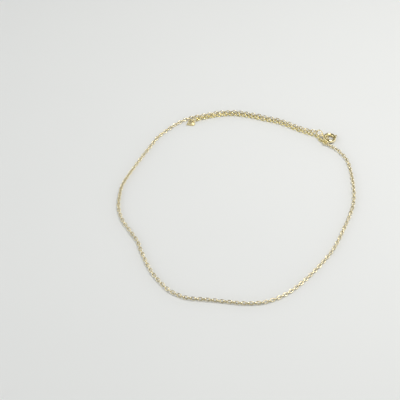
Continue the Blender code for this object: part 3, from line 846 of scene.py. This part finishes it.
mark_case(case)
settle("clasp_case", case, clasp_place, "bracelet", "polished_gold", "clasp_ring")

# %% [markdown]
# The bolt is a bent rod that fits the bore with a little play, with a domed nose. Its knob stands
# out through the slot: a short stem and a button with a rounded rim, turned like a tiny rivet. The
# two are joined, and they ride on the bolt's own body, so they slide when the clasp is opened.

# %% The clasp's bolt and knob
BOLT_GAP = 0.08 * MM
BOLT_START, BOLT_TAIL = radians(-12), radians(118)
BOLT_SIDES = 20
NOSE_SHARE = 0.7
NOSE_STEPS, RIM_STEPS = 6, 5
DOME_START = radians(12)
KNOB_DIAMETER = 0.62 * MM
KNOB_HEIGHT = 0.50 * MM
KNOB_RIM = 0.10 * MM
BOLT_SHADE_AND_DULL, KNOB_DULLNESS = 0.25, 0.05


def dome(count):
    """Shares along and across a rounded end, from its tip to its full width."""
    turns = np.linspace(DOME_START, pi / 2, count)
    return [(1 - cos(turn), sin(turn)) for turn in turns]


def bolt_mesh():
    radius = CLASP_TUBE / 2 - CLASP_WALL - BOLT_GAP
    nose = radius * NOSE_SHARE / CLASP_RADIUS
    tip = [(nose * along, radius * across) for along, across in dome(NOSE_STEPS)]
    middle = steps_between(BOLT_START + nose, BOLT_TAIL - nose, CASE_STEP)[1:-1]
    line = [(BOLT_START + turn, width) for turn, width in tip]
    line += [(angle, radius) for angle in middle]
    line += [(BOLT_TAIL - turn, width) for turn, width in reversed(tip)]
    return bent_tube("bolt", line, BOLT_SIDES)


def knob_mesh():
    """Stem and button, turned about a line that stands out of the clasp."""
    neck = CLASP_DIAMETER / 2 + KNOB_GAP
    top = neck + KNOB_HEIGHT
    stem, button = KNOB_STEM / 2, KNOB_DIAMETER / 2
    rim = [(KNOB_RIM * along, button - KNOB_RIM * (1 - across)) for along, across in dome(RIM_STEPS)]
    line = [(CLASP_RADIUS + BOLT_GAP, stem), (neck, stem)]
    line += [(neck + depth, radius) for depth, radius in rim]
    line += [(top - depth, radius) for depth, radius in reversed(rim)]
    places, radii = np.array(line).T
    path = np.stack([places, places * 0, places * 0], 1)
    ahead = np.tile([1.0, 0.0, 0.0], (len(path), 1))
    rows = swept_rows(path, ahead, radii, BOLT_SIDES)
    knob = mesh_from("knob", rows, row_faces(len(rows), BOLT_SIDES, False))
    knob.transform(Matrix.Rotation(KNOB_ANGLE, 4, "Z"))
    return knob


bolt = combined(bolt_mesh(), knob_mesh(), "UNION")
shade(bolt)
bolt_out = np.linalg.norm(points_of(bolt)[:, :2], axis=1)
mark(bolt, "worn", np.clip((bolt_out - CLASP_DIAMETER / 2) / KNOB_HEIGHT, 0, 1))
# The bolt inside the case is painted darker than the knob outside it, as painted shade
mark(bolt, "dull", np.where(bolt_out < CLASP_DIAMETER / 2, BOLT_SHADE_AND_DULL, KNOB_DULLNESS))
settle("clasp_bolt_and_knob", bolt, clasp_place, "bolt", "polished_gold", "clasp_bolt")

# %% [markdown]
# The charm is a small cast heart with a puffed front, a narrow straight edge and a flat back. A
# heart curve gives the outline: a few cosines make the lobes, the cleft and the tip. The front is
# the same outline drawn in and raised step by step along a quarter of an ellipse, so the ridge of
# the cleft runs softly into the dome, as on a cast charm.

# %% The heart's outline and dome
HEART_WIDTH, HEART_HEIGHT = 3.0 * MM, 3.0 * MM
HEART_EDGE, HEART_DOME = 0.40 * MM, 0.42 * MM
HEART_CHAMFER = 0.08 * MM
HEART_SHOULDER = 0.05 * MM
HEART_POINTS = 160
HEART_WAVES = (13, -5, -2, -1)
# The curve's points crowd near the cleft and the tip. Those with a sine under this are left out,
# apart from the cleft's own and the tip's own.
CROWDED = 0.06
DOME_STEPS = 18


def heart_outline():
    """The heart curve with its cleft at the origin and its tip along +X."""
    raw = []
    for k in range(HEART_POINTS):
        t = 2 * pi * k / HEART_POINTS
        if k % (HEART_POINTS // 2) and abs(sin(t)) < CROWDED:
            continue
        raw.append((sum(wave * cos((n + 1) * t) for n, wave in enumerate(HEART_WAVES)), sin(t) ** 3))
    height, side = np.array(raw).T
    along = (height[0] - height) * HEART_HEIGHT / (height.max() - height.min())
    return np.stack([along, side * HEART_WIDTH / 2, side * 0], 1)


def heart_mesh():
    """Layers of the outline, each a share of its full size at its own height, from the back up."""
    outline = heart_outline()
    middle = np.array([outline[:, 0].mean(), 0, 0])
    half = HEART_WIDTH / 2
    shoulder = 1 - HEART_SHOULDER / half
    layers = [
        (1 - HEART_CHAMFER / half, 0),
        (1 - HEART_CHAMFER / half * ROUND_SHARE, HEART_CHAMFER * ROUND_SHARE),
        (1, HEART_CHAMFER),
        (1, HEART_EDGE - HEART_SHOULDER),
        (1 - ROUND_SHARE * (1 - shoulder), HEART_EDGE),
    ]
    for k in range(DOME_STEPS):
        turn = pi / 2 * (k + 0.5) / DOME_STEPS
        layers.append((shoulder * cos(turn), HEART_EDGE + HEART_DOME * sin(turn)))
    rows = [middle + (outline - middle) * share + np.array([0, 0, z]) for share, z in layers]
    return mesh_from("heart", rows, row_faces(len(rows), len(outline), False))


heart = heart_mesh()
# Whichever way the outline runs, the faces are turned outwards here
heart_solid = bmesh.new()
heart_solid.from_mesh(heart)
bmesh.ops.recalc_face_normals(heart_solid, faces=heart_solid.faces)
heart_solid.to_mesh(heart)
heart_solid.free()
print("the heart's outline has", len(heart_outline()), "points")

# %% [markdown]
# A loop of wire is soldered into the heart's cleft, and the charm's ring passes through it. The
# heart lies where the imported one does, with its back on the surface: its heading is the charm
# ring's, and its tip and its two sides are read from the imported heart.

# %% The heart's loop and place
HEART_LOOP_DIAMETER, HEART_LOOP_WIRE = 1.25 * MM, 0.28 * MM
HEART_LOOP_AT = Vector((-0.55, 0, 0.64)) * MM
HEART_BEAD_AT = (0.02 * MM, 0, HEART_LOOP_AT.z)
HEART_BEAD = (0.16 * MM, 0.30 * MM, 0.17 * MM)
HEART_SOLDER_REACH = 0.4 * MM
HEART_EDGE_SHADE = 0.5
HEART_FRONT_WEAR = 0.8


def heart_place():
    """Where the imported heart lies: its tip and its two sides, read along the charm ring's heading."""
    points = points_of(frame["nodes"]["heart_charm"].data)
    heading = np.array(charm_ring.along)
    side = np.array(UP.cross(charm_ring.along))
    tip = (points @ heading).max() - heart_outline()[:, 0].max()
    middle = ((points @ side).max() + (points @ side).min()) / 2
    axes = Matrix((charm_ring.along, Vector(side), UP)).transposed()
    return Matrix.Translation(Vector(heading * tip + side * middle)) @ axes.to_4x4()


heart = combined(heart, wire_loop(HEART_LOOP_DIAMETER, HEART_LOOP_WIRE, HEART_LOOP_AT), "UNION")
heart = combined(heart, solder_bead(HEART_BEAD_AT, HEART_BEAD), "UNION")
shade(heart)
heart_points = points_of(heart)
# Painted shade low on the heart's edge, fading upwards from where it lies on the surface
edge_shade = HEART_EDGE_SHADE * np.clip(1 - heart_points[:, 2] / HEART_EDGE, 0, 1)
solder_dull = solder_dullness(heart_points, HEART_BEAD_AT, HEART_SOLDER_REACH)
risen = np.clip(heart_points[:, 2] / (HEART_EDGE + HEART_DOME), 0, 1)
mark(heart, "dull", np.maximum(solder_dull, edge_shade))
mark(heart, "worn", risen**2 * HEART_FRONT_WEAR)
settle("heart", heart, heart_place(), "bracelet", "polished_gold", "heart_charm")

# %% [markdown]
# A finish is a small graph of shader nodes. Written as a sum it is easier to read than as a
# picture of boxes and wires, so one class wraps a socket and turns plus, minus and times into Math
# nodes. The reflected forms let a plain number stand first, as in 1 - mask.

# %% Shader maths
class Reading:
    """A socket's value. Sums with it add Math nodes to the graph that it belongs to."""

    def __init__(self, graph, socket):
        self.graph = graph
        self.socket = socket

    def maths(self, operation, first, second):
        return self.graph.node("ShaderNodeMath", {"operation": operation}, {0: first, 1: second})

    def __add__(self, other):
        return self.maths("ADD", self, other)

    def __radd__(self, other):
        return self.maths("ADD", other, self)

    def __sub__(self, other):
        return self.maths("SUBTRACT", self, other)

    def __rsub__(self, other):
        return self.maths("SUBTRACT", other, self)

    def __mul__(self, other):
        return self.maths("MULTIPLY", self, other)

    def __rmul__(self, other):
        return self.maths("MULTIPLY", other, self)


# %% [markdown]
# Every other kind of node comes from one method. It takes the node's type, then its settings, which
# go first because some of them change its sockets, and then a value or a link for each socket. A
# Mix node has sockets for several kinds of value under the same names, so its colours go by number.

# %% Any other node
MIX_SHARE, MIX_FIRST, MIX_SECOND, MIX_RESULT = 0, 6, 7, 2


class Graph:
    """A node tree, with one method that adds any node to it."""

    def __init__(self, tree):
        self.tree = tree

    def node(self, kind, settings=None, sockets=None, output=0):
        added = self.tree.nodes.new(kind)
        for name, value in (settings or {}).items():
            if name == "stops":
                self.set_stops(added.color_ramp, value)
            else:
                setattr(added, name, value)
        for name, value in (sockets or {}).items():
            self.feed(added.inputs[name], value)
        return Reading(self, added.outputs[output])

    def feed(self, socket, value):
        if isinstance(value, Reading):
            self.tree.links.new(value.socket, socket)
        else:
            socket.default_value = value

    @staticmethod
    def set_stops(ramp, stops):
        while len(ramp.elements) < len(stops):
            ramp.elements.new(1.0)
        for element, (place, colour) in zip(ramp.elements, stops):
            element.position = place
            element.color = (*colour, 1)

    def mixed(self, share, first, second):
        """A colour between two others."""
        sockets = {MIX_SHARE: share, MIX_FIRST: first, MIX_SECOND: second}
        return self.node("ShaderNodeMix", {"data_type": "RGBA"}, sockets, output=MIX_RESULT)

    def noise(self, place, size, detail=2.0):
        """Noise from 0 to 1 whose features are about the given size, in metres."""
        sockets = {"Vector": place, "Scale": 1 / size, "Detail": detail}
        return self.node("ShaderNodeTexNoise", {}, sockets, output="Fac")

    def attribute(self, name):
        return self.node("ShaderNodeAttribute", {"attribute_name": name}, output="Fac")


def new_material(name):
    """A material, its graph and the sockets of its main shader."""
    material = bpy.data.materials.new(name)
    material.use_nodes = True
    return material, Graph(material.node_tree), material.node_tree.nodes["Principled BSDF"].inputs


# %% [markdown]
# All the metal is gold plate over brass, but it isn't one finish. The chain's wire was tumbled: it
# is bright where links stand proud, and painted brownish as shade where they touch. The clasp and the
# rings were polished and then handled, which leaves hairlines and a faint haze. One function makes
# every kind, from its three colours, its roughness and the strength of its haze and hairlines.

# %% Gold
NOISE_MIDDLE = 0.5
CLOUD_SIZE, CLOUD_SHADE = 2.5 * MM, 0.35
GRAIN_SIZE, GRAIN_DETAIL, GRAIN_HEIGHT = 0.22 * MM, 4.0, 0.35
HAIRLINE_SIZE, HAIRLINE_DETAIL = 0.30 * MM, 3.0
HAIRLINE_STRETCH = (1.0, 9.0, 2.2)
DULL_SHADE, DULL_ROUGHNESS = 0.9, 0.22
WORN_LEAST, WORN_GRAIN, WORN_SMOOTHNESS = 0.35, 0.6, 0.05
BUMP_STRENGTH, BUMP_DISTANCE = 0.30, 0.006 * MM


def gold_finish(name, plate, shade, bright, roughness, haze, hairline):
    """Plate, darker with painted shade and dullness, and lightened to its bright where worn."""
    material, graph, sockets = new_material(name)
    sockets["Metallic"].default_value = 1.0
    place = graph.node("ShaderNodeTexCoord", output="Object")
    worn = graph.attribute("worn")
    dull = graph.attribute("dull")
    cloud = graph.noise(place, CLOUD_SIZE) - NOISE_MIDDLE
    grain = graph.noise(place, GRAIN_SIZE, GRAIN_DETAIL)
    stretch = {"Vector": place, "Scale": HAIRLINE_STRETCH}
    stretched = graph.node("ShaderNodeMapping", {}, stretch)
    lines = graph.noise(stretched, HAIRLINE_SIZE, HAIRLINE_DETAIL)
    # The shade colour is painted shade where the mask is high, and random clouds vary it
    shaded = graph.mixed(dull * DULL_SHADE + cloud * CLOUD_SHADE, plate, shade)
    colour = graph.mixed(worn * (WORN_LEAST + grain * WORN_GRAIN), shaded, bright)
    graph.feed(sockets["Base Color"], colour)
    rough = roughness + dull * DULL_ROUGHNESS - worn * WORN_SMOOTHNESS
    rough = rough + cloud * haze + (grain - NOISE_MIDDLE) * haze
    graph.feed(sockets["Roughness"], rough)
    height = grain * GRAIN_HEIGHT + lines * hairline
    bump = {"Strength": BUMP_STRENGTH, "Distance": BUMP_DISTANCE, "Height": height}
    graph.feed(sockets["Normal"], graph.node("ShaderNodeBump", {}, bump))
    return material


print("the bump that carries grain and hairlines is", round(BUMP_DISTANCE / MM, 3), "mm deep")

# %% [markdown]
# In the photograph the single strand is paler, and the gold is yellowest where the tail lies beside
# the main chain, so the tail's gold is a little yellower. The heart looks pale, as satin metal does
# under a soft light, so it has the polished pieces' colours with more roughness.

# %% The finish of each piece
# Each gold has its plate, its painted shade colour and its rubbed bright colour
CHAIN = {
    "plate": (0.95, 0.83, 0.50, 1),
    "shade": (0.37, 0.315, 0.185, 1),
    "bright": (1.0, 0.93, 0.74, 1),
}
TAIL = {
    "plate": (1.0, 0.86, 0.37, 1),
    "shade": (0.52, 0.42, 0.17, 1),
    "bright": (1.0, 0.92, 0.60, 1),
}
POLISHED = {
    "plate": (0.82, 0.70, 0.37, 1),
    "shade": (0.42, 0.35, 0.19, 1),
    "bright": (0.92, 0.84, 0.61, 1),
}
chain_gold = gold_finish("tumbled_chain_gold", **CHAIN, roughness=0.24, haze=0.12, hairline=0.6)
tail_gold = gold_finish("tail_chain_gold", **TAIL, roughness=0.24, haze=0.12, hairline=0.6)
ring_gold = gold_finish("ring_gold", **POLISHED, roughness=0.17, haze=0.08, hairline=0.5)
clasp_gold = gold_finish("clasp_gold", **POLISHED, roughness=0.14, haze=0.10, hairline=0.7)
heart_gold = gold_finish("heart_gold", **POLISHED, roughness=0.44, haze=0.08, hairline=0.4)
FINISHES = {
    "chain_links": chain_gold,
    "extender_links": tail_gold,
    "jump_ring_wire": ring_gold,
    "catch_ring_wire": ring_gold,
    "charm_ring_wire": ring_gold,
    "clasp_case": clasp_gold,
    "clasp_bolt_and_knob": clasp_gold,
    "heart": heart_gold,
}
for name, material in FINISHES.items():
    mesh = bpy.data.objects[name].data
    mesh.materials.clear()
    mesh.materials.append(material)
print("finishes:", sorted({material.name for material in FINISHES.values()}))

# %% [markdown]
# The bracelet lies on plain pale board. A large disc is enough for it, far wider than any view,
# with a matt finish that varies so little that it is only felt.

# %% The surface
FLOOR_RADIUS = 6.0
FLOOR_SIDES = 96
BOARD_LIGHT = (0.835, 0.845, 0.840, 1)
BOARD_DARK = (0.815, 0.825, 0.822, 1)
BOARD_CLOUD_SIZE = 60 * MM
BOARD_ROUGHNESS = 0.65
BOARD_SHINE = 0.25
floor_path, _ = arc(FLOOR_RADIUS, np.arange(FLOOR_SIDES) * 2 * pi / FLOOR_SIDES)
floor_mesh = mesh_from("floor", floor_path, [tuple(range(FLOOR_SIDES))])
floor = placed("floor", floor_mesh)
floor_material, board, board_sockets = new_material("pale_board")
board_cloud = board.noise(board.node("ShaderNodeTexCoord", output="Object"), BOARD_CLOUD_SIZE)
board.feed(board_sockets["Base Color"], board.mixed(board_cloud, BOARD_LIGHT, BOARD_DARK))
board_sockets["Roughness"].default_value = BOARD_ROUGHNESS
board_sockets["Specular IOR Level"].default_value = BOARD_SHINE
floor_mesh.materials.append(floor_material)
print("the surface is", 2 * FLOOR_RADIUS, "m across")

# %% [markdown]
# Polished metal shows its surroundings more than its own colour, so the studio is lit by what the
# gold will mirror. A pale band low down on both sides draws light edges along every wire. The
# ceiling and the room ahead and behind are dim, and give the metal its deeper gold. The sky's
# colour is worked out from its direction: one ramp of heights for the sides, another for the rest.

# %% The room round the bracelet
AHEAD_STOPS = [
    (0.0, (0.44, 0.44, 0.42)),
    (0.25, (0.30, 0.30, 0.28)),
    (0.50, (0.11, 0.11, 0.10)),
    (1.0, (0.10, 0.10, 0.09)),
]
ASIDE_STOPS = [
    (0.0, (1.30, 1.31, 1.31)),
    (0.32, (1.60, 1.61, 1.61)),
    (0.52, (0.66, 0.67, 0.67)),
    (0.72, (0.16, 0.16, 0.15)),
    (1.0, (0.10, 0.10, 0.09)),
]
ASIDE_START, ASIDE_FULL = 0.10, 0.50
world = bpy.data.worlds.new("studio")
bpy.context.scene.world = world
world.use_nodes = True
sky = Graph(world.node_tree)
direction = sky.node("ShaderNodeTexCoord", output="Generated")
upward = sky.node("ShaderNodeSeparateXYZ", {}, {"Vector": direction}, output="Z")
rightward = sky.node("ShaderNodeSeparateXYZ", {}, {"Vector": direction}, output="X")
sideways = rightward.maths("ABSOLUTE", rightward, 0.0)
ahead_colour = sky.node("ShaderNodeValToRGB", {"stops": AHEAD_STOPS}, {"Fac": upward})
aside_colour = sky.node("ShaderNodeValToRGB", {"stops": ASIDE_STOPS}, {"Fac": upward})
smooth_step = {"interpolation_type": "SMOOTHSTEP"}
turning_aside = {"Value": sideways, "From Min": ASIDE_START, "From Max": ASIDE_FULL}
aside = sky.node("ShaderNodeMapRange", smooth_step, turning_aside)
background = world.node_tree.nodes["Background"]
sky.feed(background.inputs["Color"], sky.mixed(aside, ahead_colour, aside_colour))
print("the room's graph has", len(world.node_tree.nodes), "nodes")

# %% [markdown]
# Two soft lamps light the surface. The stronger one hangs high over the right, so the chain has
# faint shadows on its left and the surface fades a little towards the far left. A weaker, larger
# one from the left fills those shadows.

# %% Lamps
LAMPS = {
    "key": {"place": (0.13, 0.05, 0.34), "size": 0.16, "watts": 0.72, "colour": (1.0, 0.985, 0.96)},
    "fill": {"place": (-0.40, -0.06, 0.35), "size": 0.30, "watts": 0.42, "colour": (0.95, 0.98, 1.0)},
}


def soft_lamp(name, place, size, watts, colour):
    """A round lamp that shines at the middle of the loop."""
    data = bpy.data.lights.new(name, "AREA")
    data.shape = "DISK"
    data.size = size
    data.energy = watts
    data.color = colour
    lamp = placed(name, data)
    lamp.location = place
    lamp.rotation_euler = (-Vector(place)).to_track_quat("-Z", "Y").to_euler()


for name, lamp in LAMPS.items():
    soft_lamp(name, **lamp)
bpy.context.scene.view_settings.view_transform = "Standard"
